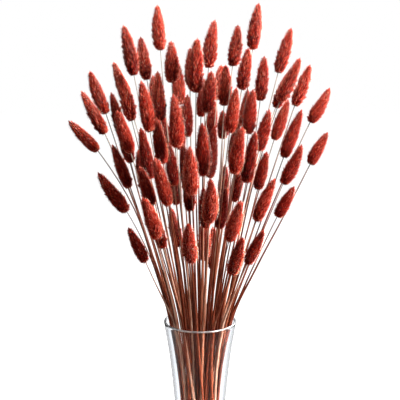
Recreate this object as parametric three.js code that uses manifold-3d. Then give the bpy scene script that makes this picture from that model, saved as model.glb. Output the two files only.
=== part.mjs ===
// Dried bunny tail grass: eighty-one dyed stalks that fan out of a clear glass vase.
// Millimetres, +Z up. The origin is the middle of the vase's underside, and the bunch's front is at -Y.

import * as THREE from 'three';
import { mergeVertices } from 'three/addons/utils/BufferGeometryUtils.js';
import Module from 'manifold-3d';

const wasm = await Module();
wasm.setup();

// Vase: a flared glass, its wall easing to a waist and out again to the foot it stands on.
const VASE_HEIGHT = 200;
const VASE_FLOOR = 12;
const VASE_WALL = 2.2;
const VASE_SIDES = 28;
const RIM_RADIUS = 37;
const RIM_ROUNDING = 0.7;
const WAIST_HEIGHT = 80;
const WAIST_RADIUS = 24.5;
const FOOT_RADIUS = 32;
const FOOT_CHAMFER = 1.5;
const VASE_OUTLINE = [
  [FOOT_RADIUS, FOOT_CHAMFER],
  [27.6, 30],
  [WAIST_RADIUS, WAIST_HEIGHT],
  [27.4, 125],
  [31.6, 165],
  [RIM_RADIUS, VASE_HEIGHT - RIM_ROUNDING],
];

// Stems: how thick they are, how far from the vase's axis they may stand at each level of it,
// and how far round the axis, one way or the other, they cross over each other on their way down from the rim.
const STEM_SIDES = 3;
const STEM_TURN = 0.25;
const STEM_RADIUS_AT_FOOT = 1.3;
const STEM_RADIUS_AT_NECK = 0.6;
const BUNDLE_RADIUS_AT_FLOOR = 19;
const BUNDLE_RADIUS_AT_WAIST = 17;
const BUNDLE_RADIUS_AT_RIM = 32.5;
const MOST_TURN_AT_WAIST = THREE.MathUtils.degToRad(35);
const MOST_TURN_AT_FLOOR = THREE.MathUtils.degToRad(50);
const CLEARANCE = 0.3;
const FUSED_FEET_SPACING = 1.5;

// Heads: rows of bristly spikelets around a pointed egg, each a raised diamond that leans to the tip.
const SPIKELETS_AROUND = 6;
const SPIKELET_PITCH = 6.8;
const FIRST_ROW = 0.045;
const LAST_ROW = 0.89;
const HEAD_END = 0.98;
const CORE_SHARE = 0.66;
const BLUNT_BASE_SHARE = 0.88;
const SPIKELET_LEAN = 0.1;
const SPIKELET_JITTER = 0.07;
const HEAD_ROUNDNESS = 0.62;

// The bunch is measured in a view of its front: millimetres across and up from the view's middle,
// on the plane through the vase's axis, with the viewer's eye this far off and looking down by this much.
const VIEW_DISTANCE = 800;
const VIEW_TILT = THREE.MathUtils.degToRad(10);
const VIEW_MIDDLE_HEIGHT = 325;

// Where the heads' axes point back to, below the rim, which sets how far they lean to the front or back.
const FAN_ORIGIN_HEIGHT = 100;
const DEEPEST = 88;

// Vase and stalks together make at most this many pieces, so the last stalks are fused at the foot in pairs.
const MOST_PIECES = 60;

// One line for each head: its tip across and up, its base across and up, its half width,
// and how far it stands behind the vase's axis, or in front of it where that is negative.
const HEADS = [
  [-132, 79.5, -102, 49, 6.5, -5],
  [-119, 109.5, -95, 66, 6.5, 12],
  [-110.5, 130, -94, 86, 6.5, 25],
  [-87, 139, -70, 94, 6, 48],
  [-81, 128, -68, 79, 7, 20],
  [-77, 176, -66, 124.5, 7, 12],
  [-59.5, 164, -53, 120, 6.5, 22],
  [-42.5, 196, -39.5, 149.5, 6.5, 18],
  [-89, 108, -76, 60, 6.5, 28],
  [-83, 90, -69, 47, 7, -30],
  [-81, 82, -69, 37, 6.5, -2],
  [-88, 56, -71, 12, 6.5, -25],
  [-102.5, 28, -73, -12, 7.5, -20],
  [-72, -27, -54.5, -62, 6.5, -40],
  [-59, 120, -50, 68, 7.5, -22],
  [-47.5, 126, -42, 79, 6.5, 48],
  [-42.5, 130, -39, 79, 6.5, 6],
  [-43, 98, -32, 50, 6.5, 52],
  [-44, 83, -37, 36, 7, -14],
  [-32, 59, -25.5, 14, 6.5, -8],
  [-45.5, 43, -31.5, -5.5, 7.5, -55],
  [-59.5, 73, -49.5, 21, 7, -38],
  [-62, 51, -54, 8, 6.5, 8],
  [-60.5, 34, -48, -5.5, 7, -50],
  [-58, 3, -43, -38.5, 7.5, -65],
  [-50, -6, -36.5, -48, 6.5, -45],
  [-29, 160, -28, 117, 7, 8],
  [-22, 137, -20, 95, 6.5, 38],
  [-27, 107, -23, 52, 7.5, -28],
  [-12.5, 106, -13, 63, 6.5, -8],
  [-18, 96, -20, 50, 6, 42],
  [-17.5, 58, -12, 8, 6.5, 2],
  [-10.5, 54, -8, 5, 7.5, -58],
  [-13, 35, -10, -11, 6.5, -38],
  [-2.5, 163, -4, 107, 8, -8],
  [-10, 153, -10, 114, 6, 42],
  [15, 181, 8.5, 132, 7, 22],
  [11.5, 130, 7, 87, 7, -12],
  [4, 122, 1, 83, 6, 30],
  [15, 99, 8.5, 61, 6.5, 55],
  [2, 78, 3, 24, 7.5, -42],
  [14.5, 75, 9.5, 22, 7, -2],
  [21.5, 136, 17, 100, 5.5, 62],
  [25.5, 136, 24, 94, 6.5, 25],
  [38, 176, 32.5, 133.5, 6.5, 22],
  [48.5, 153, 41.5, 110, 6.5, 6],
  [59, 198, 52.5, 150, 6.5, 15],
  [64.5, 145, 60, 99, 6.5, 2],
  [91.5, 173, 78, 127, 6.5, 12],
  [100.5, 143, 79.5, 98, 6.5, -8],
  [93, 132, 75.5, 92, 6, 45],
  [110.5, 136, 94.5, 94, 6.5, 20],
  [130, 112.5, 110, 77.5, 6.5, 8],
  [88.5, 101, 74, 60, 6.5, 15],
  [102, 91, 83.5, 42.5, 7, -20],
  [128, 68, 110, 35.5, 6.5, -5],
  [102, 56, 83, 16, 7, -25],
  [94.5, 14, 77, -17, 6.5, -20],
  [53, 111, 48, 66, 7, -12],
  [48, 111, 42.5, 73, 6, 35],
  [36.5, 113, 29.5, 67, 7, -25],
  [22.5, 90, 22.5, 61, 6, 40],
  [69.5, 91, 58.5, 49, 7, -18],
  [55, 69, 46, 17, 7, -42],
  [42.5, 74, 34, 26, 7.5, -55],
  [38.5, 80, 32, 35, 6.5, -8],
  [67, 49, 57.5, 10.5, 6.5, -30],
  [75, 22, 56, -21, 7, -45],
  [64, -30, 47, -64, 6.5, -45],
  [43, -37, 31, -74, 7, -65],
  [41, 0, 29, -41, 7.5, -70],
  [10.5, 22, 8.5, -23, 7.5, -72],
  [3.5, 13, 6, -28, 6.5, -45],
  [-11.5, -23, -8.5, -62.5, 7.5, -75],
  [25, 35.5, 22.5, -1, 6.5, 35],
  [26, 14, 19.5, -29, 6.5, 0],
  [43, 45, 33.5, -2, 6.5, 12],
  [-27, 40, -23.5, -5, 6.5, 40],
  [-29, -7, -20.5, -47, 6.5, 58],
  [6, -12, 4, -61, 6.5, 42],
  [13, -26, 13, -70, 6.5, 62],
];

// A stalk's knots: its foot, where it passes the waist and the rim, two bends on the way up,
// the neck under its head, and the head's tip.
const FOOT = 0;
const WAIST = 1;
const RIM = 2;
const BENDS = [3, 4];
const NECK = 5;
const TIP = 6;
const BUNDLE_LEVELS = [
  { knot: FOOT, height: VASE_FLOOR + CLEARANCE, radius: BUNDLE_RADIUS_AT_FLOOR, mostTurn: MOST_TURN_AT_FLOOR },
  { knot: WAIST, height: WAIST_HEIGHT, radius: BUNDLE_RADIUS_AT_WAIST, mostTurn: MOST_TURN_AT_WAIST },
  { knot: RIM, height: VASE_HEIGHT, radius: BUNDLE_RADIUS_AT_RIM, mostTurn: 0 },
];

// How straight a stem leaves the rim, and how straight it runs on into its head's axis.
const SLOPE_AT_RIM = 0.8;
const SLOPE_AT_NECK = 0.85;

// Settling: the stalks ease toward their natural curves while they press each other apart,
// and then only press, until nothing touches by more than the last of these lengths.
const EASING_ROUNDS = 450;
const SETTLING_ROUNDS = 600;
const EASING = 0.08;
const PUSH = 0.5;
const HEAD_SHARE_OF_PUSH = 0.25;
const HEAD_MARGIN = 1.12;
const SLIMMEST_HEAD_SHARE = 0.4;
const HEAD_STATIONS = [0.05, 0.2, 0.35, 0.5, 0.65, 0.8, 0.95];
const SETTLED = 0.02;

// Dyed rust red, each stalk a little lighter or darker than the next.
const GRASS_COLOR = '#9c4234';
const GRASS_VARIATION = 0.05;
const RANDOM_SEED = 80;

const X_AXIS = new THREE.Vector3(1, 0, 0);
const Z_AXIS = new THREE.Vector3(0, 0, 1);
const EYE = new THREE.Vector3(
  0,
  -VIEW_DISTANCE * Math.cos(VIEW_TILT),
  VIEW_MIDDLE_HEIGHT + VIEW_DISTANCE * Math.sin(VIEW_TILT),
);

// The point at this place in the front view and this depth behind the vase's axis.
function placeAtDepth([across, up], depth) {
  const sight = new THREE.Vector3(across, up, -VIEW_DISTANCE).applyAxisAngle(X_AXIS, Math.PI / 2 - VIEW_TILT);
  return EYE.clone().addScaledVector(sight, (depth - EYE.y) / sight.y);
}

// Sets a stalk's neck, tip and width from its depth: the further off the axis, the more it leans out.
function placeHead(stalk) {
  stalk.depth = THREE.MathUtils.clamp(stalk.depth, -DEEPEST, DEEPEST);
  stalk.halfWidth = stalk.seenHalfWidth * (stalk.depth - EYE.y) / -EYE.y;
  stalk.knots[NECK] = placeAtDepth(stalk.seenBase, stalk.depth);
  const reach = stalk.knots[NECK].z - FAN_ORIGIN_HEIGHT;
  const rise = stalk.seenTip[1] - stalk.seenBase[1];
  stalk.knots[TIP] = placeAtDepth(stalk.seenTip, stalk.depth * (1 + rise / reach));
}

// A head's half width from its base at 0 to its tip at 1, as a share of the widest.
function headOutline(along) {
  const clamped = THREE.MathUtils.clamp(along, 0, 1);
  return Math.sin(Math.PI * Math.sqrt(clamped)) ** HEAD_ROUNDNESS;
}

// A stem's radius at a knot, or part of the way to the next.
function stemRadius(knot) {
  return THREE.MathUtils.lerp(STEM_RADIUS_AT_FOOT, STEM_RADIUS_AT_NECK, knot / NECK);
}

// How far a stalk's own stuff reaches from its line, part of the way from one knot to the next.
function reachAt(stalk, knot, part) {
  if (knot === NECK) {
    const share = Math.max(headOutline(part), headOutline(part - SPIKELET_LEAN), SLIMMEST_HEAD_SHARE);
    return stalk.halfWidth * HEAD_MARGIN * share;
  }
  return stemRadius(knot + part);
}

// Each stalk starts on its own spot of the bundle: out to the side that its head leans to,
// and the further out, the more it leans. Below the rim it wanders round the axis by a turn of its own.
function startStalks() {
  const stalks = HEADS.map(([tipAcross, tipUp, baseAcross, baseUp, seenHalfWidth, depth]) => {
    const stalk = {
      seenTip: [tipAcross, tipUp],
      seenBase: [baseAcross, baseUp],
      seenHalfWidth,
      depth,
      knots: [],
    };
    placeHead(stalk);
    const { x, y, z } = stalk.knots[NECK];
    stalk.side = Math.atan2(y, x);
    stalk.lean = Math.hypot(x, y) / (z - FAN_ORIGIN_HEIGHT);
    return stalk;
  });
  [...stalks].sort((a, b) => a.lean - b.lean).forEach((stalk, rank) => {
    stalk.spot = Math.sqrt((rank + 0.5) / stalks.length);
  });
  for (const stalk of stalks) {
    const shareOfTurn = THREE.MathUtils.seededRandom() * 2 - 1;
    for (const { knot, height, radius, mostTurn } of BUNDLE_LEVELS) {
      const side = stalk.side + mostTurn * shareOfTurn;
      stalk.knots[knot] = new THREE.Vector3(
        radius * stalk.spot * Math.cos(side),
        radius * stalk.spot * Math.sin(side),
        height,
      );
    }
    for (const knot of BENDS) stalk.knots[knot] = naturalBend(stalk, knot);
  }
  return stalks;
}

// Where a bend lies on the smooth curve from the rim to the neck, which leaves the vase a little
// steeper than the straight way there and comes into the head along the head's own axis.
function naturalBend(stalk, knot) {
  const rim = stalk.knots[RIM];
  const neck = stalk.knots[NECK];
  const height = neck.z - rim.z;
  const part = (knot - RIM) / (NECK - RIM);
  const headAxis = stalk.knots[TIP].clone().sub(neck);
  const bend = new THREE.Vector3(0, 0, rim.z + part * height);
  for (const axis of ['x', 'y']) {
    const chord = neck[axis] - rim[axis];
    const slopeAtRim = SLOPE_AT_RIM * chord;
    const slopeAtNeck = (SLOPE_AT_NECK * headAxis[axis] * height) / headAxis.z;
    bend[axis] =
      rim[axis] * (2 * part ** 3 - 3 * part ** 2 + 1) +
      slopeAtRim * (part ** 3 - 2 * part ** 2 + part) +
      neck[axis] * (3 * part ** 2 - 2 * part ** 3) +
      slopeAtNeck * (part ** 3 - part ** 2);
  }
  return bend;
}

// Moves one end of a stalk's stretch: stems sideways any way, heads only nearer or further off.
function shift(stalk, knot, across, away) {
  if (knot < NECK) {
    stalk.knots[knot].x += across;
    stalk.knots[knot].y += away;
    return;
  }
  stalk.depth += away;
  stalk.knots[NECK].y += away;
  stalk.knots[TIP].y += away;
}

const stretchA = new THREE.Line3();
const stretchB = new THREE.Line3();
const nearA = new THREE.Vector3();
const nearB = new THREE.Vector3();

// Where two stretches crowd each other most. Stems are looked at where their lines are nearest,
// but a head is looked at all the way up, because it is widest well above its base.
function tightestSpot(stalkA, a, stalkB, b) {
  stretchA.set(stalkA.knots[a], stalkA.knots[a + 1]);
  stretchB.set(stalkB.knots[b], stalkB.knots[b + 1]);
  let stations = HEAD_STATIONS;
  if (a !== NECK) {
    stretchA.distanceSqToLine3(stretchB, nearA, nearB);
    stations = [stretchA.closestPointToPointParameter(nearA, true)];
  }
  let spot = { missing: 0 };
  for (const partA of stations) {
    stretchA.at(partA, nearA);
    const partB = stretchB.closestPointToPointParameter(nearA, true);
    stretchB.at(partB, nearB);
    const distance = nearA.distanceTo(nearB);
    const needed = reachAt(stalkA, a, partA) + reachAt(stalkB, b, partB) + CLEARANCE;
    if (needed - distance <= spot.missing) continue;
    spot = {
      missing: needed - distance,
      partA,
      partB,
      across: nearA.x - nearB.x,
      away: nearA.y - nearB.y,
      awayNeeded: Math.sqrt(needed ** 2 - distance ** 2 + (nearA.y - nearB.y) ** 2),
    };
  }
  return spot;
}

// Presses two stretches apart where they come closer than their thickness and the clearance allow.
// Gives back how much was missing. Where only one of them is a head, it is the first.
function pressApart(stalkA, a, stalkB, b) {
  const { missing, partA, partB, across, away, awayNeeded } = tightestSpot(stalkA, a, stalkB, b);
  if (missing === 0) return 0;
  const front = away < 0 || (away === 0 && stalkA.depth < stalkB.depth) ? -1 : 1;
  if (a === NECK && b === NECK) {
    const step = front * (awayNeeded - Math.abs(away)) * PUSH * 0.5;
    shift(stalkA, NECK, 0, step);
    shift(stalkB, NECK, 0, -step);
    return missing;
  }
  const level = Math.hypot(across, away) || 1;
  const stepAcross = (across / level) * missing * PUSH;
  const stepAway = (away / level || front) * missing * PUSH;
  const shareA = a === NECK ? HEAD_SHARE_OF_PUSH : 1;
  shift(stalkA, a, stepAcross * shareA * (1 - partA), stepAway * shareA * (1 - partA));
  shift(stalkA, a + 1, stepAcross * shareA * partA, stepAway * shareA * partA);
  shift(stalkB, b, -stepAcross * (1 - partB), -stepAway * (1 - partB));
  shift(stalkB, b + 1, -stepAcross * partB, -stepAway * partB);
  return missing;
}

// Whether two stretches share a level, allowing for the width of a head.
function meetInHeight(stalkA, a, stalkB, b) {
  const spare = stalkA.halfWidth + stalkB.halfWidth;
  const below = stalkA.knots[a + 1].z + spare < stalkB.knots[b].z;
  const above = stalkB.knots[b + 1].z + spare < stalkA.knots[a].z;
  return !below && !above;
}

// Settles the bunch until no stalk touches another, with every stem inside the vase's wall.
function settle(stalks) {
  for (let round = 0; round < SETTLING_ROUNDS; round += 1) {
    if (round < EASING_ROUNDS) {
      for (const stalk of stalks) {
        for (const knot of BENDS) stalk.knots[knot].lerp(naturalBend(stalk, knot), EASING);
      }
    }
    let worst = 0;
    for (let i = 0; i < stalks.length; i += 1) {
      for (let j = i + 1; j < stalks.length; j += 1) {
        for (let a = FOOT; a < TIP; a += 1) {
          for (let b = FOOT; b < TIP; b += 1) {
            if (!meetInHeight(stalks[i], a, stalks[j], b)) continue;
            const missing = b === NECK
              ? pressApart(stalks[j], b, stalks[i], a)
              : pressApart(stalks[i], a, stalks[j], b);
            worst = Math.max(worst, missing);
          }
        }
      }
    }
    for (const stalk of stalks) {
      placeHead(stalk);
      for (const { knot, radius } of BUNDLE_LEVELS) {
        const place = stalk.knots[knot];
        const out = Math.hypot(place.x, place.y);
        if (out <= radius) continue;
        place.x *= radius / out;
        place.y *= radius / out;
      }
    }
    if (worst < SETTLED) break;
  }
}

// Two directions square to a given one, the first as near to the bunch's width as it can be.
function sidesOf(direction) {
  const first = X_AXIS.clone().projectOnPlane(direction).normalize();
  return [first, new THREE.Vector3().crossVectors(direction, first)];
}

// Collects the corners and faces of one closed skin.
class Skin {
  constructor() {
    this.corners = [];
    this.faces = [];
  }

  corner(place) {
    this.corners.push(place.x, place.y, place.z);
    return this.corners.length / 3 - 1;
  }

  // A ring of corners around a centre, square to a direction, started part of a step round.
  ring(centre, direction, radius, count, turn) {
    const [first, second] = sidesOf(direction);
    return Array.from({ length: count }, (_, index) => {
      const angle = ((index + turn) / count) * 2 * Math.PI;
      const place = centre.clone()
        .addScaledVector(first, radius * Math.cos(angle))
        .addScaledVector(second, radius * Math.sin(angle));
      return this.corner(place);
    });
  }

  face(a, b, c) {
    this.faces.push(a, b, c);
  }

  geometry() {
    const geometry = new THREE.BufferGeometry();
    geometry.setAttribute('position', new THREE.Float32BufferAttribute(this.corners, 3));
    geometry.setIndex(this.faces);
    geometry.computeVertexNormals();
    return geometry;
  }
}

// The stem: a slim tube from the foot to the neck. Gives back its last ring, under the head.
function addStem(skin, stalk) {
  let below = null;
  for (let knot = FOOT; knot <= NECK; knot += 1) {
    const direction = knot < RIM
      ? Z_AXIS
      : stalk.knots[knot + 1].clone().sub(stalk.knots[knot - 1]).normalize();
    const ring = skin.ring(stalk.knots[knot], direction, stemRadius(knot), STEM_SIDES, STEM_TURN);
    if (below) {
      for (let side = 0; side < STEM_SIDES; side += 1) {
        const next = (side + 1) % STEM_SIDES;
        skin.face(below[side], below[next], ring[next]);
        skin.face(below[side], ring[next], ring[side]);
      }
    } else {
      skin.face(ring[0], ring[2], ring[1]);
    }
    below = ring;
  }
  return below;
}

// The head: a lattice of diamonds around the axis, each raised to a leaning point.
function addHead(skin, stalk, neckRing) {
  const base = stalk.knots[NECK];
  const axis = stalk.knots[TIP].clone().sub(base);
  const length = axis.length();
  axis.normalize();
  const [first, second] = sidesOf(axis);
  const lastRow = Math.round(length / SPIKELET_PITCH);
  const alongRow = (row) => THREE.MathUtils.lerp(FIRST_ROW, LAST_ROW, row / lastRow);
  const jitter = () => 1 + SPIKELET_JITTER * (2 * THREE.MathUtils.seededRandom() - 1);
  const rows = [];
  for (let row = 0; row <= lastRow; row += 1) {
    const along = alongRow(row);
    const centre = base.clone().addScaledVector(axis, along * length);
    const share = row === 0 ? BLUNT_BASE_SHARE : CORE_SHARE;
    const radius = share * stalk.halfWidth * headOutline(along);
    rows.push(skin.ring(centre, axis, radius, SPIKELETS_AROUND, 0.5 * (row % 2)));
  }
  const tip = skin.corner(base.clone().addScaledVector(axis, length * HEAD_END));

  for (let side = 0; side < STEM_SIDES; side += 1) {
    const next = (side + 1) % STEM_SIDES;
    const left = rows[0][2 * side];
    const right = rows[0][2 * side + 1];
    const beyond = rows[0][(2 * side + 2) % SPIKELETS_AROUND];
    skin.face(neckRing[side], right, left);
    skin.face(neckRing[side], neckRing[next], beyond);
    skin.face(neckRing[side], beyond, right);
  }
  for (let index = 0; index < SPIKELETS_AROUND; index += 1) {
    skin.face(rows[0][index], rows[0][(index + 1) % SPIKELETS_AROUND], rows[1][index]);
  }

  for (let row = 1; row <= lastRow; row += 1) {
    const between = row % 2;
    const along = alongRow(row);
    for (let index = 0; index < SPIKELETS_AROUND; index += 1) {
      const left = rows[row][index];
      const right = rows[row][(index + 1) % SPIKELETS_AROUND];
      const bottom = rows[row - 1][(index + between) % SPIKELETS_AROUND];
      const top = row === lastRow ? tip : rows[row + 1][(index + between) % SPIKELETS_AROUND];
      const angle = ((index + 0.5 + 0.5 * between) / SPIKELETS_AROUND) * 2 * Math.PI;
      const pointAlong = (along + SPIKELET_LEAN * jitter()) * length;
      const pointOut = stalk.halfWidth * jitter() *
        (headOutline(along) + headOutline(along + SPIKELET_LEAN)) / 2;
      const point = skin.corner(base.clone()
        .addScaledVector(axis, pointAlong)
        .addScaledVector(first, pointOut * Math.cos(angle))
        .addScaledVector(second, pointOut * Math.sin(angle)));
      skin.face(bottom, right, point);
      skin.face(right, top, point);
      skin.face(top, left, point);
      skin.face(left, bottom, point);
    }
  }
}

function stalkGeometry(stalk) {
  const skin = new Skin();
  addHead(skin, stalk, addStem(skin, stalk));
  return skin.geometry();
}

function toSolid(geometry) {
  const bare = geometry.clone();
  bare.deleteAttribute('normal');
  const merged = mergeVertices(bare, 1e-5);
  const mesh = new wasm.Mesh({
    numProp: 3,
    vertProperties: new Float32Array(merged.attributes.position.array),
    triVerts: new Uint32Array(merged.index.array),
  });
  return new wasm.Manifold(mesh);
}

function fromSolid(solid) {
  const mesh = solid.getMesh();
  const geometry = new THREE.BufferGeometry();
  geometry.setAttribute('position', new THREE.Float32BufferAttribute(mesh.vertProperties, 3));
  geometry.setIndex(Array.from(mesh.triVerts));
  geometry.computeVertexNormals();
  return geometry;
}

// Pairs the stalks whose feet stand closest together, as many as are needed, and joins their feet.
function pairStalks(stalks) {
  const pairsNeeded = Math.max(0, stalks.length + 1 - MOST_PIECES);
  const options = [];
  for (let i = 0; i < stalks.length; i += 1) {
    for (let j = i + 1; j < stalks.length; j += 1) {
      const spacing = stalks[i].knots[FOOT].distanceTo(stalks[j].knots[FOOT]);
      options.push({ spacing, pair: [stalks[i], stalks[j]] });
    }
  }
  options.sort((a, b) => a.spacing - b.spacing);
  const paired = new Set();
  const pairs = [];
  for (const { pair } of options) {
    if (pairs.length === pairsNeeded) break;
    if (pair.some((stalk) => paired.has(stalk))) continue;
    pair.forEach((stalk) => paired.add(stalk));
    pairs.push(pair);
  }
  for (const [one, other] of pairs) {
    const middle = one.knots[FOOT].clone().add(other.knots[FOOT]).multiplyScalar(0.5);
    const half = one.knots[FOOT].clone().sub(middle).setLength(FUSED_FEET_SPACING / 2);
    one.knots[FOOT].copy(middle).add(half);
    other.knots[FOOT].copy(middle).sub(half);
  }
  return { pairs, singles: stalks.filter((stalk) => !paired.has(stalk)) };
}

const GLASS = new THREE.MeshStandardMaterial({
  color: '#e8eeee',
  roughness: 0.05,
  metalness: 0,
  transparent: true,
  opacity: 0.35,
});

function grassMaterial(index) {
  const color = new THREE.Color(GRASS_COLOR).offsetHSL(0, 0, GRASS_VARIATION * Math.sin(index));
  return new THREE.MeshStandardMaterial({ color, roughness: 0.9, metalness: 0, flatShading: true });
}

function makeVase() {
  const outline = VASE_OUTLINE.map(([radius, height]) => new THREE.Vector2(radius, height));
  const outside = new THREE.SplineCurve(outline).getPoints(VASE_OUTLINE.length + 1);
  const inside = outside
    .filter((point) => point.y > VASE_FLOOR + FOOT_CHAMFER)
    .map((point) => new THREE.Vector2(point.x - VASE_WALL, point.y));
  const floorCorner = new THREE.Vector2(inside[0].x + FOOT_CHAMFER, VASE_FLOOR);
  const profile = [
    new THREE.Vector2(0, 0),
    new THREE.Vector2(FOOT_RADIUS - FOOT_CHAMFER, 0),
    ...outside,
    new THREE.Vector2(RIM_RADIUS - VASE_WALL / 2, VASE_HEIGHT),
    ...inside.reverse(),
    floorCorner,
    new THREE.Vector2(0, VASE_FLOOR),
  ];
  const geometry = new THREE.LatheGeometry(profile, VASE_SIDES);
  geometry.rotateX(Math.PI / 2);
  const vase = new THREE.Mesh(geometry, GLASS);
  vase.name = 'vase';
  return vase;
}

function makeBunch() {
  THREE.MathUtils.seededRandom(RANDOM_SEED);
  const stalks = startStalks();
  settle(stalks);
  const { pairs, singles } = pairStalks(stalks);
  const meshes = [
    ...singles.map((stalk) => ({ kind: 'stalk', geometry: stalkGeometry(stalk) })),
    ...pairs.map(([one, other]) => ({
      kind: 'stalk_pair',
      geometry: fromSolid(toSolid(stalkGeometry(one)).add(toSolid(stalkGeometry(other)))),
    })),
  ];
  const counts = {};
  return meshes.map(({ kind, geometry }, index) => {
    counts[kind] = (counts[kind] ?? 0) + 1;
    const mesh = new THREE.Mesh(geometry, grassMaterial(index));
    mesh.name = `${kind}_${String(counts[kind]).padStart(2, '0')}`;
    return mesh;
  });
}

const object = new THREE.Group();
object.add(makeVase(), ...makeBunch());

export default object;
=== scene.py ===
# Dried bunny tail grass: furry rust-red heads on thin bare stems, standing in a clear glass vase.
import math

import bmesh
import bpy
import numpy as np
from mathutils import Matrix, Vector


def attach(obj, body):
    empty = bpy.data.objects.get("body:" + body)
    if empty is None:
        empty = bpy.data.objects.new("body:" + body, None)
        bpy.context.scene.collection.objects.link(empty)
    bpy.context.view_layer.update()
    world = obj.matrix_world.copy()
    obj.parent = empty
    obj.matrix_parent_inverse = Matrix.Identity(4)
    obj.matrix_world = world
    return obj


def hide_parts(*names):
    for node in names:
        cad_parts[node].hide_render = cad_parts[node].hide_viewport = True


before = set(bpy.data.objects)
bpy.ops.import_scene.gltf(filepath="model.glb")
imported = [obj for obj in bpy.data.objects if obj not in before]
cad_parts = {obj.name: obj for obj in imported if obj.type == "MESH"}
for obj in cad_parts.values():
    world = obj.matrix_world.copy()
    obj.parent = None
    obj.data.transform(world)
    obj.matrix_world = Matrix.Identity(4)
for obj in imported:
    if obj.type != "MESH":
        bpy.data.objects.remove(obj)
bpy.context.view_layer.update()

# The photograph's view: the viewer's distance from the vase's axis, how far the viewer looks down,
# the height at the middle of the picture, and the width that the picture takes in there. The camera's
# sensor is in millimetres, and it sees nothing nearer than the last value.
VIEW_DISTANCE = 0.8
VIEW_TILT = math.radians(10)
VIEW_MIDDLE_HEIGHT = 0.325
VIEW_WIDTH = 0.4
SENSOR_WIDTH = 36
NEAREST_SEEN = 0.05
EYE = Vector((
    0,
    -VIEW_DISTANCE * math.cos(VIEW_TILT),
    VIEW_MIDDLE_HEIGHT + VIEW_DISTANCE * math.sin(VIEW_TILT),
))

# Heads that are clearly paler (1) or darker (0) than the rest in the photograph, by where their tips are
# seen: metres across and up from the middle of the picture. This is partly painted light and shade: the pale
# ones are mostly front heads that face the light, the dark ones mostly heads behind others in the bunch's
# shade. Such a head's tone varies a little, and the other heads' tones lie in the middle.
SAME_TIP = 0.004
LIT_AND_SHADED_SPREAD = 0.3
ORDINARY_TONES = (0.3, 0.7)
LIT_AND_SHADED_TIPS = {
    1.0: [
        (-0.132, 0.080), (-0.043, 0.196), (-0.029, 0.160), (-0.081, 0.128), (-0.083, 0.090), (-0.059, 0.120),
        (-0.027, 0.107), (-0.046, 0.043), (-0.058, 0.003), (-0.011, 0.054), (0.011, 0.022), (0.037, 0.113),
        (0.043, 0.074), (-0.022, 0.137), (-0.048, 0.126), (0.022, 0.136), (0.075, 0.022), (0.041, 0.0),
    ],
    0.0: [
        (-0.077, 0.176), (-0.043, 0.130), (-0.013, 0.106), (0.012, 0.130), (-0.060, 0.073), (-0.032, 0.059),
        (0.023, 0.090), (0.039, 0.080), (0.015, 0.075), (0.025, 0.036), (0.043, 0.045), (0.026, 0.014),
        (-0.027, 0.040), (-0.029, -0.007), (0.006, -0.012), (0.013, -0.026), (0.004, 0.013), (0.055, 0.069),
    ],
}

# How a stalk is read from its CAD node: the waist's height, the stem's sides, the slack in a level, how near
# two points are one, how far along the head its last point stands, and the first row's share of the half
# width.
WAIST_HEIGHT = 0.08
STEM_SIDES = 3
LEVEL_SLACK = 1e-4
MERGE_DISTANCE = 2e-6
HEAD_END = 0.98
FIRST_ROW_SHARE = 0.653

# Heads: a slim core whose rows of faces carry the hairs. The first kinds are ragged and go to the heads that
# are seen above the height given. Lengths are shares of a head's length, and widths of its half width.
HEAD_KINDS = 8
RAGGED_KINDS = 3
RAGGED_ABOVE = 0.125
HEAD_SEED = 310
USUAL_HEAD_LENGTH = 0.048
USUAL_HALF_WIDTH = 0.007
HEAD_TAPER = 0.6
HEAD_ROUNDNESS = 0.45
TIP_SHARPNESS = 0.15
BOW = 0.2
HAIRS_AROUND = 37
HAIR_ROWS = 30
ROOT_JITTER = 0.3
CORE_START = 0.004
CORE_END = 0.925
CORE_SHARE = 0.72

# The tufts of a ragged head and of a smooth one: how many, the share of them that stands proud and how far
# out, how far up a tuft reaches from its middle, and how far below the head's end the last tips may stop.
# A hair is pulled a share of the way to its tuft's tip, and ends at most a little past the head's end.
RAGGED = {"tufts": 190, "proud_share": 0.75, "stand": (0.03, 0.3), "reach": 0.075, "tip_depth": 0.06}
SMOOTH = {"tufts": 260, "proud_share": 0.1, "stand": (0.12, 0.25), "reach": 0.09, "tip_depth": 0.03}
GOLDEN_ANGLE = math.pi * (3 - math.sqrt(5))
TUFT_SLIMNESS = 0.45
TUFT_RISE_JITTER = 0.02
TUFT_TURN_JITTER = 0.5
FLAT_STAND = 0.05
PROUD_PULL = 0.85
FLAT_PULL = 0.3
LEAST_TUFT_WIDTH = 0.25
LEAST_TIP_WIDTH = 0.1
HIGHEST_TIP = 0.01

# Short hairs, and the long ones that are copies of one cone, doubled over and over. A value with two numbers
# is a random range.
HAIR_REACH = 0.085
HAIR_REACHES = (0.7, 1.4)
HAIR_SPREADS = (-0.2, 0.02)
HAIR_TONES = (0.35, 1.0)
LONG_HAIR_DOUBLINGS = 10
LONG_HAIR_RADIUS = 0.00028
LONG_HAIR_REACH = 0.015
LONG_HAIR_REACHES = (0.5, 1.3)
LONG_HAIR_SPREADS = (0.2, 0.3)
LONG_HAIR_TURN_JITTER = 0.3
LONG_HAIR_HOLD = 0.4
LONG_HAIR_ROOT = 0.85

# Stems: radii at the foot, the waist, the rim, the two bends and the neck, and how much they vary.
# Above the rim a stem whose neck is low is sturdier, by a share for each metre that the neck is below the
# height given.
STEM_RADII = [0.00135, 0.0013, 0.00118, 0.00092, 0.0006, 0.00044]
STEM_THICKNESSES = (0.8, 1.15)
STEM_STEPS = 5
STURDY_BELOW = 0.31
STURDINESS = 6
SUNK_INTO_HEAD = 0.12

# The heights between which the stems turn from dyed to pale.
PALE_FROM = 0.31
PALE_ABOVE = 0.4

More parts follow.
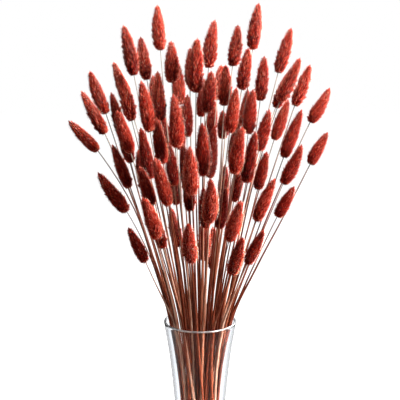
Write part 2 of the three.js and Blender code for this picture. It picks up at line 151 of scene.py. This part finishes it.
# Vase: its outline as in CAD, from the foot up, how finely it and its round stretches are divided, and the
# heights between which the rim turns from polished to ground.
VASE_HEIGHT = 0.2
VASE_FLOOR = 0.012
VASE_WALL = 0.0022
VASE_OUTLINE = [
    (0.032, 0.0015), (0.0276, 0.03), (0.0245, 0.08), (0.0274, 0.125), (0.0316, 0.165), (0.037, 0.1993),
]
VASE_SIDES = 128
VASE_STEPS = 12
FOOT_ROUNDING = 0.0015
FOOT_STEPS = 5
FLOOR_ROUNDING = 0.004
FLOOR_STEPS = 6
RIM_DROP = 0.0004
RIM_STEPS = 8
SMOOTH_BELOW = math.radians(50)
GROUND_FROM = VASE_HEIGHT - 0.0018
GROUND_ABOVE = VASE_HEIGHT - 0.001

# Light: the surroundings as the viewer sees them, and the light that they give. Most comes from behind and
# from the right: the shares of across and depth in the heading that it comes from.
WORLD_SEEN = 1.0
LIGHT_AHEAD = 0.05
LIGHT_BEHIND = 1.6
LIGHT_OVERHEAD = 0.4
LIGHT_ACROSS = 0.6
LIGHT_DEPTH = 0.8

# A ray that the glass bends to the side is seen darker, from one sideways share of its heading to another
# and down to a brightness. A ray that the glass mirrors counts as light, but by a smaller share where it
# heads to the back.
BENT_FROM = 0.4
BENT_ABOVE = 0.8
BENT_BRIGHTNESS = 0.75
MIRRORED_FROM = -0.1
MIRRORED_ABOVE = 0.2
MIRRORED_BEHIND = 0.3

# Lamps: where each stands, how wide it is, and its power in watts. All point at the middle of the heads.
LAMPS = {
    "key": ((1.0, -0.5, 1.1), 0.4, 80),
    "rim": ((0.9, 0.6, 0.7), 0.5, 65),
    "overhead": ((0.1, -0.1, 1.4), 0.7, 16),
    "fill": ((-1.1, -0.9, 0.5), 0.7, 7),
}
LAMP_AIM = Vector((0, 0, 0.34))

# Floor: its size, and how brightly it glows from near the vase to far from it: the dimmer glow near the vase
# is a painted shadow around its foot.
FLOOR_SIZE = 12
GLOW_NEAR = (0.05, 0.6)
GLOW_FAR = (0.25, 0.94)


def deselect_all():
    if bpy.context.object and bpy.context.object.mode != "OBJECT":
        bpy.ops.object.mode_set(mode="OBJECT")
    bpy.ops.object.select_all(action="DESELECT")


def select_only(objects):
    deselect_all()
    for item in objects:
        item.select_set(True)
    bpy.context.view_layer.objects.active = objects[-1]


def read_points(mesh):
    points = np.empty(len(mesh.vertices) * 3)
    mesh.vertices.foreach_get("co", points)
    return points.reshape(-1, 3)


def write_points(mesh, points):
    mesh.vertices.foreach_set("co", np.asarray(points, np.float32).ravel())
    mesh.update()


def middle(vertices):
    """The mean place of some vertices, the same to the last digit in whatever order they come."""
    return Vector([math.fsum(vertex.co[axis] for vertex in vertices) / len(vertices) for axis in range(3)])


class Value:
    """A shader socket that takes part in Python arithmetic: each sign adds a Math node."""

    def __init__(self, finish, socket):
        self.finish = finish
        self.socket = socket

    def math(self, operation, first, second):
        made = self.finish.node("ShaderNodeMath", {"operation": operation}, {0: first, 1: second})
        return Value(self.finish, made.outputs[0])

    def __add__(self, other):
        return self.math("ADD", self, other)

    def __sub__(self, other):
        return self.math("SUBTRACT", self, other)

    def __rsub__(self, other):
        return self.math("SUBTRACT", other, self)

    def __mul__(self, other):
        return self.math("MULTIPLY", self, other)


class Finish:
    """A material's or world's nodes, made and linked by one method."""

    def __init__(self, owner):
        self.owner = owner
        owner.use_nodes = True
        self.tree = owner.node_tree
        self.tree.nodes.clear()

    def node(self, kind, settings=None, inputs=None):
        made = self.tree.nodes.new(kind)
        for name, value in (settings or {}).items():
            if name == "stops":
                ramp = made.color_ramp
                while len(ramp.elements) < len(value):
                    ramp.elements.new(0.5)
                for element, (place, color) in zip(ramp.elements, value):
                    element.position = place
                    element.color = (*color, 1)
            else:
                setattr(made, name, value)
        for name, value in (inputs or {}).items():
            if isinstance(value, Value):
                self.tree.links.new(value.socket, made.inputs[name])
            else:
                made.inputs[name].default_value = value
        return made

    def value(self, kind, output, settings=None, inputs=None):
        return Value(self, self.node(kind, settings, inputs).outputs[output])

    def between(self, factor, first, second):
        """A colour from the first to the second as the factor goes from 0 to 1."""
        made = self.node("ShaderNodeMix", {"data_type": "RGBA"}, {0: factor, 6: first, 7: second})
        return Value(self, made.outputs[2])

    def span(self, value, low, high, out_low=0.0, out_high=1.0):
        """The value's place between low and high, eased and kept within its ends."""
        return self.value("ShaderNodeMapRange", 0, {"interpolation_type": "SMOOTHSTEP"},
                          {0: value, 1: low, 2: high, 3: out_low, 4: out_high})

    def close(self, shader, kind="ShaderNodeOutputMaterial"):
        self.node(kind, None, {"Surface": shader})
        return self.owner


def new_finish(name):
    return Finish(bpy.data.materials.new(name))


# Attribute channels on every stalk: how far up the hair, the head's own tone with painted light on front
# heads and painted shade on heads behind others, the tuft's or the stem's own tone, and how far up the head.
TONES = "tones"


def tone_values(finish):
    tones = finish.node("ShaderNodeAttribute", {"attribute_name": TONES})
    parts = finish.node("ShaderNodeSeparateColor", None, {0: Value(finish, tones.outputs["Color"])})
    channels = [Value(finish, parts.outputs[index]) for index in range(3)]
    return [*channels, Value(finish, tones.outputs["Alpha"])]


def fur_finish():
    finish = new_finish("rust_fur")
    up_hair, head, tuft, up_head = tone_values(finish)
    place = finish.value("ShaderNodeTexCoord", "Object")
    speckle = finish.value("ShaderNodeTexNoise", 0, None,
                           {"Vector": place, "Scale": 520.0, "Detail": 3.0, "Roughness": 0.6})
    # Painted shade and light: the tone climbs from dark roots, the shade deep between the hairs, to pale
    # hair tips that stand for light shining through them. Tufts and speckle add random tone, and the head's
    # term its tone with its painted light and shade.
    tone = up_hair * 0.9 + (tuft - 0.5) * 0.1 + (speckle - 0.5) * 0.4 + (head - 0.5) * 0.26
    # Painted light: paler at the head's lowest hairs, lit from behind, and toward its tip, lit from above.
    tone = tone + finish.span(up_head, 0.02, 0.16, 0.32, 0.0) + finish.span(up_head, 0.5, 0.8, 0.0, 0.05)
    color = finish.value("ShaderNodeValToRGB", 0, {"stops": [
        (0.0, (0.02, 0.0004, 0.0002)),
        (0.3, (0.075, 0.0022, 0.001)),
        (0.55, (0.2, 0.0085, 0.003)),
        (0.78, (0.46, 0.05, 0.024)),
        (0.97, (0.88, 0.36, 0.26)),
    ]}, {0: tone})
    return finish.close(finish.value("ShaderNodeBsdfPrincipled", 0, None, {
        "Base Color": color,
        "Roughness": 0.75,
        "Specular IOR Level": 0.03,
        "Sheen Weight": 0.5,
        "Sheen Roughness": 0.3,
        "Sheen Tint": (1.0, 0.3, 0.22, 1),
    }))


def long_hair_finish():
    finish = new_finish("pale_long_hairs")
    up_hair, *_ = tone_values(finish)
    # Painted light: dark along most of a hair and pale salmon at its tip, for the glow of light shining
    # through it.
    color = finish.value("ShaderNodeValToRGB", 0, {"stops": [
        (0.0, (0.05, 0.001, 0.0005)),
        (0.68, (0.12, 0.003, 0.001)),
        (0.8, (0.5, 0.04, 0.015)),
        (0.93, (0.82, 0.46, 0.38)),
    ]}, {0: up_hair})
    return finish.close(finish.value("ShaderNodeBsdfPrincipled", 0, None, {
        "Base Color": color,
        "Roughness": 0.6,
        "Specular IOR Level": 0.1,
        "Subsurface Weight": 1.0,
        "Subsurface Radius": (1.0, 0.5, 0.4),
        "Subsurface Scale": 0.001,
    }))


def stem_finish():
    finish = new_finish("dry_stem")
    _, _, own, _ = tone_values(finish)
    place = finish.value("ShaderNodeTexCoord", "Object")
    height = finish.value("ShaderNodeSeparateXYZ", "Z", None, {0: place})
    stretched = finish.value("ShaderNodeMapping", 0, None, {"Vector": place, "Scale": (1.0, 1.0, 0.06)})
    streaks = finish.value("ShaderNodeTexNoise", 0, None,
                           {"Vector": stretched, "Scale": 900.0, "Detail": 3.0, "Roughness": 0.65})
    blotches = finish.value("ShaderNodeTexNoise", 0, None, {"Vector": place, "Scale": 55.0, "Detail": 2.0})
    # The streaks are the stem's own streaking and partly painted highlights: where they are palest they
    # stand for glints along the stems. Blotches and each stem's own tone differ at random.
    tone = (streaks - 0.5) * 0.9 + (blotches - 0.5) * 0.6 + finish.span(own, 0.4, 1.0) * 0.7 + 0.17
    dyed = finish.value("ShaderNodeValToRGB", 0, {"stops": [
        (0.0, (0.05, 0.007, 0.0015)),
        (0.4, (0.16, 0.026, 0.008)),
        (0.7, (0.3, 0.11, 0.058)),
        (1.0, (0.45, 0.27, 0.2)),
    ]}, {0: tone})
    pale = finish.between(own, (0.03, 0.024, 0.018, 1), (0.5, 0.42, 0.34, 1))
    color = finish.between(finish.span(height, PALE_FROM, PALE_ABOVE, 0.0, 0.85), dyed, pale)
    bump = finish.value("ShaderNodeBump", 0, None, {"Strength": 0.35, "Distance": 0.0002, "Height": streaks})
    return finish.close(finish.value("ShaderNodeBsdfPrincipled", 0, None, {
        "Base Color": color,
        "Roughness": finish.span(streaks, 0.3, 0.7, 0.34, 0.55),
        "Specular IOR Level": 0.2,
        "Normal": bump,
    }))


def glass_finish():
    finish = new_finish("clear_glass")
    place = finish.value("ShaderNodeTexCoord", "Object")
    film = finish.value("ShaderNodeTexNoise", 0, None, {"Vector": place, "Scale": 60.0, "Detail": 4.0})
    tint = finish.between(finish.span(film, 0.35, 0.7), (0.985, 0.985, 0.985, 1), (0.955, 0.965, 0.97, 1))
    height = finish.value("ShaderNodeSeparateXYZ", "Z", None, {0: place})
    facing = finish.value("ShaderNodeLayerWeight", "Facing", None, {"Blend": 0.5})
    tint = finish.between(finish.span(facing, 0.3, 0.6), tint, (0.82, 0.855, 0.91, 1))
    ground_rim = finish.span(height, GROUND_FROM, GROUND_ABOVE)
    turned = finish.span(facing, 0.4, 0.8)
    # Painted shade: the ground rim's tint turns nearly black where the rim turns from the view, drawing its
    # dark sides.
    rim_tint = finish.between(turned, (1, 1, 1, 1), (0.02, 0.03, 0.05, 1))
    tint = finish.between(ground_rim, tint, rim_tint)
    return finish.close(finish.value("ShaderNodeBsdfPrincipled", 0, None, {
        "Base Color": tint,
        "Roughness": ground_rim * 0.5,
        "IOR": 1.5,
        "Specular Tint": (0.5, 0.5, 0.5, 1),
        "Coat Weight": ground_rim * (1 - turned) * 0.7,
        "Coat Roughness": 0.3,
        "Coat IOR": 3.0,
        "Transmission Weight": 1.0,
    }))


def seen_plainly(finish, heading):
    """1 for a ray that the viewer sees straight or through glass, 0 for light on its way.

    What the glass bends to the left or right is seen darker, which draws the vase's edges. A ray that was
    mirrored in the glass counts as light where it comes from the viewer's side.
    """
    parts = finish.node("ShaderNodeSeparateXYZ", None, {0: heading})
    across, depth = [Value(finish, parts.outputs[name]) for name in ("X", "Y")]
    across = finish.value("ShaderNodeMath", 0, {"operation": "ABSOLUTE"}, {0: across})
    straight = finish.span(across, BENT_FROM, BENT_ABOVE, 1.0, BENT_BRIGHTNESS)
    in_front = finish.span(depth, MIRRORED_FROM, MIRRORED_ABOVE, 1.0, MIRRORED_BEHIND)
    path = finish.node("ShaderNodeLightPath")
    camera, passed, scattered, mirrored = [
        Value(finish, path.outputs[name])
        for name in ("Is Camera Ray", "Is Transmission Ray", "Diffuse Depth", "Glossy Depth")]
    return finish.span(camera + (passed - scattered - mirrored * in_front) * straight, 0.0, 1.0)


def floor_finish():
    finish = new_finish("pale_floor")
    place = finish.value("ShaderNodeTexCoord", "Object")
    away = finish.value("ShaderNodeVectorMath", "Value", {"operation": "LENGTH"}, {0: place})
    heading = finish.value("ShaderNodeVectorMath", "Vector", {"operation": "NORMALIZE"}, {0: place})
    seen = seen_plainly(finish, heading)
    grain = finish.value("ShaderNodeTexNoise", 0, None, {"Vector": place, "Scale": 4.0, "Detail": 3.0})
    pale = finish.between(grain, (0.095, 0.095, 0.095, 1), (0.105, 0.105, 0.105, 1))
    pale = finish.between(seen, (0.04, 0.04, 0.04, 1), pale)
    # Painted shadow: the glow is dimmer near the vase.
    glow = finish.value("ShaderNodeMapRange", 0, None,
                        {0: away, 1: GLOW_NEAR[0], 2: GLOW_FAR[0], 3: GLOW_NEAR[1], 4: GLOW_FAR[1]})
    return finish.close(finish.value("ShaderNodeBsdfPrincipled", 0, None, {
        "Base Color": pale,
        "Roughness": 0.8,
        "Specular IOR Level": 0.0,
        "Emission Color": finish.between(seen * glow, (0, 0, 0, 1), (1, 1, 1, 1)),
        "Emission Strength": 1.0,
    }))


def neighbours(ring):
    """The vertices at the other ends of the edges that leave these."""
    return {edge.other_vert(vertex) for vertex in ring for edge in vertex.link_edges}


def read_stalks(node):
    """The stalks in a CAD node: each one's knots from foot to neck, its head's axis and its half width."""
    shape = bmesh.new()
    shape.from_mesh(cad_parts[node].data)
    bmesh.ops.remove_doubles(shape, verts=shape.verts, dist=MERGE_DISTANCE)
    floor_level = min(vertex.co.z for vertex in shape.verts)
    foot = middle([vertex for vertex in shape.verts if vertex.co.z < floor_level + LEVEL_SLACK])
    low = [vertex for vertex in shape.verts if vertex.co.z < WAIST_HEIGHT - LEVEL_SLACK]
    bmesh.ops.delete(shape, geom=low, context="VERTS")
    starts = [vertex for vertex in shape.verts if vertex.co.z < WAIST_HEIGHT + LEVEL_SLACK]
    stalks = []
    visited = set()
    for start in starts:
        if start in visited:
            continue
        ring = neighbours({start}) & set(starts) | {start}
        knots = [foot]
        while len(ring) == STEM_SIDES:
            knots.append(middle(ring))
            visited |= ring
            ring = neighbours(ring) - visited
        first_row = list(ring)
        head = set()
        while ring:
            head |= ring
            ring = neighbours(ring) - visited - head
        pole = max(head, key=lambda vertex: len(vertex.link_edges))
        visited |= head
        neck = knots[-1]
        axis = (pole.co - neck) / HEAD_END
        direction = axis.normalized()
        across = [(vertex.co - neck).cross(direction).length for vertex in first_row]
        half_width = math.fsum(across) / len(across) / FIRST_ROW_SHARE
        stalks.append({"knots": knots, "axis": axis, "half_width": half_width})
    shape.free()
    return stalks


def head_outline(along):
    """A head's half width from its base at 0 to its tip at 1, as a share of the widest."""
    along = np.clip(along, 0.0, 1.0)
    return np.sin(np.pi * along ** HEAD_TAPER) ** (HEAD_ROUNDNESS + TIP_SHARPNESS * along ** 2)


def put_faces_in_order(mesh):
    """Sort the faces by their corners: a new sphere lists them differently from one run to the next."""
    shape = bmesh.new()
    shape.from_mesh(mesh)
    count = len(shape.verts)
    shape.faces.sort(key=lambda face: sum(
        index * count ** place for place, index in enumerate(sorted(vertex.index for vertex in face.verts))))
    shape.to_mesh(mesh)
    shape.free()


def set_tones(mesh, tones):
    layer = mesh.color_attributes.new(TONES, "FLOAT_COLOR", "POINT")
    layer.data.foreach_set("color", np.asarray(tones, np.float32).ravel())


def points_around(along, angle, radius):
    return np.column_stack([radius * np.cos(angle), radius * np.sin(angle), along])


def bend(points, bow):
    """Bow a unit head's points to the side, most at the middle of its length."""
    points[:, 0] += bow * 4 * points[:, 2] * (1 - points[:, 2])


class Tufts:
    """Spikelets spread over a unit head: the hairs of each lean together to one tip."""

    def __init__(self, style, draws):
        count = style["tufts"]
        self.style = style
        self.draws = draws
        self.along = (np.arange(count) + 0.5) / count
        self.along += draws.uniform(-TUFT_RISE_JITTER, TUFT_RISE_JITTER, count)
        self.angle = np.arange(count) * GOLDEN_ANGLE
        self.angle += draws.uniform(-TUFT_TURN_JITTER, TUFT_TURN_JITTER, count)
        self.tone = draws.uniform(0, 1, count)
        proud = draws.uniform(0, 1, count) < style["proud_share"]
        proud_stand = draws.uniform(*style["stand"], count)
        self.stand = np.where(proud, proud_stand, draws.uniform(-FLAT_STAND, FLAT_STAND, count))
        self.pull = np.where(proud, PROUD_PULL, FLAT_PULL)

    def nearest(self, along, angle):
        """The tuft that each hair belongs to, and the turn from the hair to its tuft."""
        rise = self.along[None, :] - along[:, None]
        turn = (self.angle[None, :] - angle[:, None] + np.pi) % (2 * np.pi) - np.pi
        width = USUAL_HALF_WIDTH / USUAL_HEAD_LENGTH * np.maximum(head_outline(along), LEAST_TUFT_WIDTH)
        own = ((rise * TUFT_SLIMNESS) ** 2 + (turn * width[:, None]) ** 2).argmin(1)
        return own, turn[np.arange(len(along)), own]

    def tips(self, along, angle, reach, spread, hold=1.0):
        """Where hairs end: their own way up, drawn to the tip of the tuft that they belong to."""
        own, turn = self.nearest(along, angle)
        pull = hold * self.pull[own]
        end = along + reach
        tuft_end = self.along[own] + self.style["reach"] * np.clip(4 * self.along[own], 0, 1)
        end += pull * (tuft_end - end)
        end = np.minimum(end, 1 + self.draws.uniform(-self.style["tip_depth"], HIGHEST_TIP, len(end)))
        radius = np.maximum(head_outline(np.clip(end, 0.008, 0.985)), LEAST_TIP_WIDTH)
        radius *= 1 + pull * self.stand[own] * np.clip(4 * (1.02 - end), 0.2, 1)
        radius += spread
        return points_around(end, angle + pull * turn, radius), self.tone[own]


def model_head(kind, finishes):
    """One furry head, a unit long and a unit in half width, standing on the origin.

    The hairs near its base reach less far up, and the lowest ones hang down.
    """
    draws = np.random.default_rng(HEAD_SEED + kind)
    tufts = Tufts(RAGGED if kind < RAGGED_KINDS else SMOOTH, draws)
    deselect_all()
    bpy.ops.mesh.primitive_uv_sphere_add(segments=HAIRS_AROUND, ring_count=HAIR_ROWS, radius=1)
    head = bpy.context.object
    points = read_points(head.data)
    along = 1 - np.arccos(np.clip(points[:, 2], -1, 1)) / np.pi
    angle = np.arctan2(points[:, 1], points[:, 0])
    row = np.rint(along * HAIR_ROWS)
    inner = (row > 0) & (row < HAIR_ROWS)
    turn = 0.5 * (row % 2) + draws.uniform(-ROOT_JITTER, ROOT_JITTER, len(row))
    angle += turn * 2 * np.pi / HAIRS_AROUND
    along += inner * draws.uniform(-ROOT_JITTER, ROOT_JITTER, len(row)) / HAIR_ROWS
    radius = inner * CORE_SHARE * head_outline(along)
    write_points(head.data, points_around(CORE_START + (CORE_END - CORE_START) * along, angle, radius))

    bpy.ops.object.mode_set(mode="EDIT")
    bpy.ops.mesh.select_all(action="SELECT")
    bpy.ops.mesh.quads_convert_to_tris(quad_method="BEAUTY", ngon_method="BEAUTY")
    bpy.ops.object.mode_set(mode="OBJECT")
    put_faces_in_order(head.data)
    bpy.ops.object.mode_set(mode="EDIT")
    bpy.ops.mesh.select_all(action="SELECT")
    bpy.ops.mesh.poke()
    bpy.ops.object.mode_set(mode="OBJECT")

    roots = len(points)
    points = read_points(head.data)
    along = points[roots:, 2]
    angle = np.arctan2(points[roots:, 1], points[roots:, 0])
    hairs = len(along)
    reach = HAIR_REACH * draws.uniform(*HAIR_REACHES, hairs) * np.clip(6 * along - 0.3, -0.3, 1)
    spread = draws.uniform(*HAIR_SPREADS, hairs)
    points[roots:], tuft_tone = tufts.tips(along, angle, reach, spread)
    bow = BOW * draws.uniform(-1, 1)
    bend(points, bow)
    write_points(head.data, points)

    tones = np.zeros((len(points), 4))
    tones[roots:, 0] = draws.uniform(*HAIR_TONES, hairs)
    tones[roots:, 2] = tuft_tone
    tones[:roots, 2] = 0.5
    tones[:, 3] = np.clip(points[:, 2], 0, 1)
    set_tones(head.data, tones)
    head.data.materials.append(finishes["fur"])

    long_hairs = model_long_hairs(tufts, draws, bow, finishes["long_hair"])
    select_only([long_hairs, head])
    bpy.ops.object.join()
    bpy.ops.object.shade_smooth()
    return bpy.context.object


def model_long_hairs(tufts, draws, bow, material):
    """Thin hairs that stand out of a unit head all over: one is modelled, the rest are copies."""
    deselect_all()
    bpy.ops.mesh.primitive_cone_add(vertices=3, radius1=1, radius2=0, depth=1, end_fill_type="NGON")
    hairs = bpy.context.object
    one = read_points(hairs.data)
    bpy.ops.object.mode_set(mode="EDIT")
    for _ in range(LONG_HAIR_DOUBLINGS):
        bpy.ops.mesh.select_all(action="SELECT")
        bpy.ops.mesh.duplicate()
    bpy.ops.object.mode_set(mode="OBJECT")

    count = 2 ** LONG_HAIR_DOUBLINGS
    shape = read_points(hairs.data).reshape(count, len(one), 3)
    along = CORE_START + (CORE_END - CORE_START) * (np.arange(count) + 0.5) / count
    angle = np.arange(count) * GOLDEN_ANGLE
    angle += draws.uniform(-LONG_HAIR_TURN_JITTER, LONG_HAIR_TURN_JITTER, count)
    reach = LONG_HAIR_REACH * draws.uniform(*LONG_HAIR_REACHES, count) * np.clip(30 * along - 2, -2, 1)
    base = points_around(along, angle, LONG_HAIR_ROOT * CORE_SHARE * head_outline(along))
    spread = draws.uniform(*LONG_HAIR_SPREADS, count)
    tip, _ = tufts.tips(along, angle, reach, spread, LONG_HAIR_HOLD)
    up = shape[:, :, 2:3] + 0.5
    out = np.column_stack([np.cos(angle), np.sin(angle), np.zeros(count)])
    side = np.column_stack([-np.sin(angle), np.cos(angle), np.zeros(count)])
    flat = shape[:, :, 0:1] * side[:, None, :] + shape[:, :, 1:2] * out[:, None, :]
    placed = base[:, None, :] * (1 - up) + tip[:, None, :] * up + flat * LONG_HAIR_RADIUS / USUAL_HALF_WIDTH
    placed = placed.reshape(-1, 3)
    bend(placed, bow)
    write_points(hairs.data, placed)
    tones = np.zeros((len(placed), 4))
    tones[:, 0] = up.ravel()
    set_tones(hairs.data, tones)
    hairs.data.materials.append(material)
    return hairs


def place_head(pattern, stalk, draws):
    """A copy of a head with its own mesh, stretched, turned and moved onto the stalk's neck."""
    mesh = pattern.data.copy()
    axis = stalk["axis"]
    direction = axis.normalized()
    first = Vector((1, 0, 0)).cross(direction).normalized()
    spin = Matrix.Rotation(draws.uniform(0, 2 * math.pi), 4, direction)
    first = spin @ first
    second = direction.cross(first)
    width = stalk["half_width"]
    mesh.transform(Matrix((
        (*(first * width), 0), (*(second * width), 0), (*axis, 0), (0, 0, 0, 1),
    )).transposed())
    mesh.transform(Matrix.Translation(stalk["knots"][-1]))
    tones = np.empty(len(mesh.vertices) * 4, np.float32)
    mesh.color_attributes[TONES].data.foreach_get("color", tones)
    tones[1::4] = stalk["tone"]
    mesh.color_attributes[TONES].data.foreach_set("color", tones)
    head = bpy.data.objects.new("head", mesh)
    bpy.context.scene.collection.objects.link(head)
    return head


def place_stem(stalk, draws, material):
    """The thin stem: a tapered tube on a smooth curve through the stalk's knots and into the head."""
    neck = stalk["knots"][-1]
    knots = [*stalk["knots"], neck + SUNK_INTO_HEAD * stalk["axis"]]
    deselect_all()
    bpy.ops.curve.primitive_bezier_curve_add(location=(0, 0, 0))
    stem = bpy.context.object
    curve = stem.data
    spline = curve.splines[0]
    spline.bezier_points.add(len(knots) - len(spline.bezier_points))
    thickness = draws.uniform(*STEM_THICKNESSES)
    sturdiness = 1 + STURDINESS * max(0, STURDY_BELOW - neck.z)
    for point, knot, radius in zip(spline.bezier_points, knots, [*STEM_RADII, STEM_RADII[-1]]):
        point.co = knot
        point.handle_left_type = "AUTO"
        point.handle_right_type = "AUTO"
        point.radius = thickness * radius * (sturdiness if knot.z > VASE_HEIGHT else 1)
    curve.dimensions = "3D"
    curve.resolution_u = STEM_STEPS
    curve.bevel_depth = 1.0
    curve.bevel_resolution = 1
    curve.use_fill_caps = True
    bpy.ops.object.convert(target="MESH")
    stem = bpy.context.object
    mesh = stem.data
    tones = np.zeros((len(mesh.vertices), 4))
    tones[:, 2] = draws.uniform(0, 1)
    set_tones(mesh, tones)
    mesh.polygons.foreach_set("use_smooth", np.ones(len(mesh.polygons), bool))
    mesh.materials.clear()
    mesh.materials.append(material)
    return stem


def seen_place(point):
    """Where the viewer sees a point: how far across and up from the middle of the picture."""
    ahead = Vector((0, math.cos(VIEW_TILT), -math.sin(VIEW_TILT)))
    upward = Vector((0, math.sin(VIEW_TILT), math.cos(VIEW_TILT)))
    reach = point - EYE
    share = VIEW_DISTANCE / reach.dot(ahead)
    return Vector((reach.x * share, reach.dot(upward) * share))


def head_tone_with_painted_light(tip, draws):
    """How pale a head is drawn, from 0 to 1: as in the photograph where a head stands out at this tip, with
    painted light on front heads and painted shade on heads behind others; elsewhere a random tone.
    """
    near = [
        (tone, (Vector(place) - tip).length)
        for tone, places in LIT_AND_SHADED_TIPS.items()
        for place in places
    ]
    tone, distance = min(near, key=lambda pair: pair[1])
    chance = draws.uniform(*ORDINARY_TONES)
    return tone + LIT_AND_SHADED_SPREAD * (chance - 0.5) if distance < SAME_TIP else chance


def make_stalk(node, number, stalk, patterns, draws, finishes):
    tip = seen_place(stalk["knots"][-1] + stalk["axis"])
    # The head's tone: random, with painted light and shade where the head stands out.
    stalk["tone"] = head_tone_with_painted_light(tip, draws)
    stem = place_stem(stalk, draws, finishes["stem"])
    kinds = (0, RAGGED_KINDS) if tip.y > RAGGED_ABOVE else (RAGGED_KINDS, HEAD_KINDS)
    head = place_head(patterns[int(draws.integers(*kinds))], stalk, draws)
    select_only([stem, head])
    bpy.ops.object.join()
    piece = bpy.context.object
    piece.name = f"{node}_{number}"
    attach(piece, "root")
    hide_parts(node)


def smooth_outline(corners, steps):
    """Points on a smooth curve through the corners, steps of them from each corner to the next."""
    ends = [2 * Vector(corners[0]) - Vector(corners[1]), *map(Vector, corners),
            2 * Vector(corners[-1]) - Vector(corners[-2])]
    points = []
    for before, start, end, after in zip(ends, ends[1:], ends[2:], ends[3:]):
        for index in range(steps):
            share = index / steps
            points.append(0.5 * (2 * start + (end - before) * share
                                 + (2 * before - 5 * start + 4 * end - after) * share ** 2
                                 + (3 * start - before - 3 * end + after) * share ** 3))
    return [*points, Vector(corners[-1])]


def arc(centre, radius, start, end, steps):
    """Points on a round stretch of outline, by angle in degrees from straight out."""
    turns = [math.radians(start + (end - start) * index / steps) for index in range(steps + 1)]
    return [
        Vector((centre[0] + radius * math.cos(turn), centre[1] + radius * math.sin(turn)))
        for turn in turns
    ]


def make_vase(material):
    outside = smooth_outline(VASE_OUTLINE, VASE_STEPS)
    inside = [point - Vector((VASE_WALL, 0)) for point in outside if point.y > VASE_FLOOR + FLOOR_ROUNDING]
    rim_middle = (outside[-1].x - VASE_WALL / 2, outside[-1].y - RIM_DROP)
    floor_corner = (inside[0].x - FLOOR_ROUNDING, VASE_FLOOR + FLOOR_ROUNDING)
    rings = [
        *arc((outside[0].x - FOOT_ROUNDING, FOOT_ROUNDING), FOOT_ROUNDING, -90, 0, FOOT_STEPS),
        *outside[1:-1],
        *arc(rim_middle, VASE_WALL / 2, 0, 180, RIM_STEPS),
        *inside[-2::-1],
        *arc(floor_corner, FLOOR_ROUNDING, 0, -90, FLOOR_STEPS),
    ]
    deselect_all()
    bpy.ops.mesh.primitive_circle_add(vertices=VASE_SIDES, radius=rings[0].x, fill_type="NGON")
    vase = bpy.context.object
    vase.name = "vase_glass"
    bpy.ops.object.mode_set(mode="EDIT")
    bpy.ops.mesh.select_all(action="SELECT")
    bpy.ops.mesh.select_mode(type="EDGE")
    for last, ring in zip(rings, rings[1:]):
        bpy.ops.mesh.extrude_edges_move(TRANSFORM_OT_translate={"value": (0, 0, ring.y - last.y)})
        share = ring.x / last.x
        bpy.ops.transform.resize(value=(share, share, 1), center_override=(0, 0, 0))
    bpy.ops.mesh.edge_face_add()
    bpy.ops.mesh.select_all(action="SELECT")
    bpy.ops.mesh.normals_make_consistent(inside=False)
    bpy.ops.object.mode_set(mode="OBJECT")
    bpy.ops.object.shade_smooth_by_angle(angle=SMOOTH_BELOW)
    vase.data.materials.append(material)
    vase.visible_shadow = False
    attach(vase, "root")
    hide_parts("vase")


def make_floor():
    deselect_all()
    bpy.ops.mesh.primitive_plane_add(size=FLOOR_SIZE)
    floor = bpy.context.object
    floor.name = "floor"
    floor.data.materials.append(floor_finish())


def light_studio():
    world = bpy.data.worlds.new("studio")
    bpy.context.scene.world = world
    finish = Finish(world)
    heading = finish.value("ShaderNodeTexCoord", "Generated")
    parts = finish.node("ShaderNodeSeparateXYZ", None, {0: heading})
    across, depth, height = [Value(finish, parts.outputs[name]) for name in ("X", "Y", "Z")]
    overhead = finish.span(height, 0.1, 1.0, 0.0, LIGHT_OVERHEAD)
    away = depth * LIGHT_DEPTH + across * LIGHT_ACROSS
    behind = finish.span(away, 0.0, 0.9, LIGHT_AHEAD, LIGHT_BEHIND)
    seen = seen_plainly(finish, heading)
    strength = seen * WORLD_SEEN + (1 - seen) * (overhead + behind)
    background = finish.value("ShaderNodeBackground", 0, None, {"Color": (1, 1, 1, 1), "Strength": strength})
    finish.close(background, "ShaderNodeOutputWorld")
    bpy.context.scene.view_settings.view_transform = "Standard"
    for name, (place, size, power) in LAMPS.items():
        turn = (LAMP_AIM - Vector(place)).to_track_quat("-Z", "Y").to_euler()
        bpy.ops.object.light_add(type="AREA", location=place, rotation=turn)
        lamp = bpy.context.object
        lamp.name = name
        lamp.data.size = size
        lamp.data.energy = power


def set_camera():
    bpy.ops.object.camera_add(location=EYE, rotation=(math.pi / 2 - VIEW_TILT, 0, 0))
    camera = bpy.context.object
    camera.data.sensor_width = SENSOR_WIDTH
    camera.data.lens = SENSOR_WIDTH * VIEW_DISTANCE / VIEW_WIDTH
    camera.data.clip_start = NEAREST_SEEN
    bpy.context.scene.camera = camera


def make_bunch():
    finishes = {"fur": fur_finish(), "long_hair": long_hair_finish(), "stem": stem_finish()}
    patterns = [model_head(kind, finishes) for kind in range(HEAD_KINDS)]
    draws = np.random.default_rng(HEAD_SEED)
    for node in sorted(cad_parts):
        if node == "vase":
            continue
        for number, stalk in enumerate(read_stalks(node), 1):
            make_stalk(node, number, stalk, patterns, draws, finishes)
    for pattern in patterns:
        bpy.data.objects.remove(pattern)


set_camera()
light_studio()
make_floor()
make_vase(glass_finish())
make_bunch()
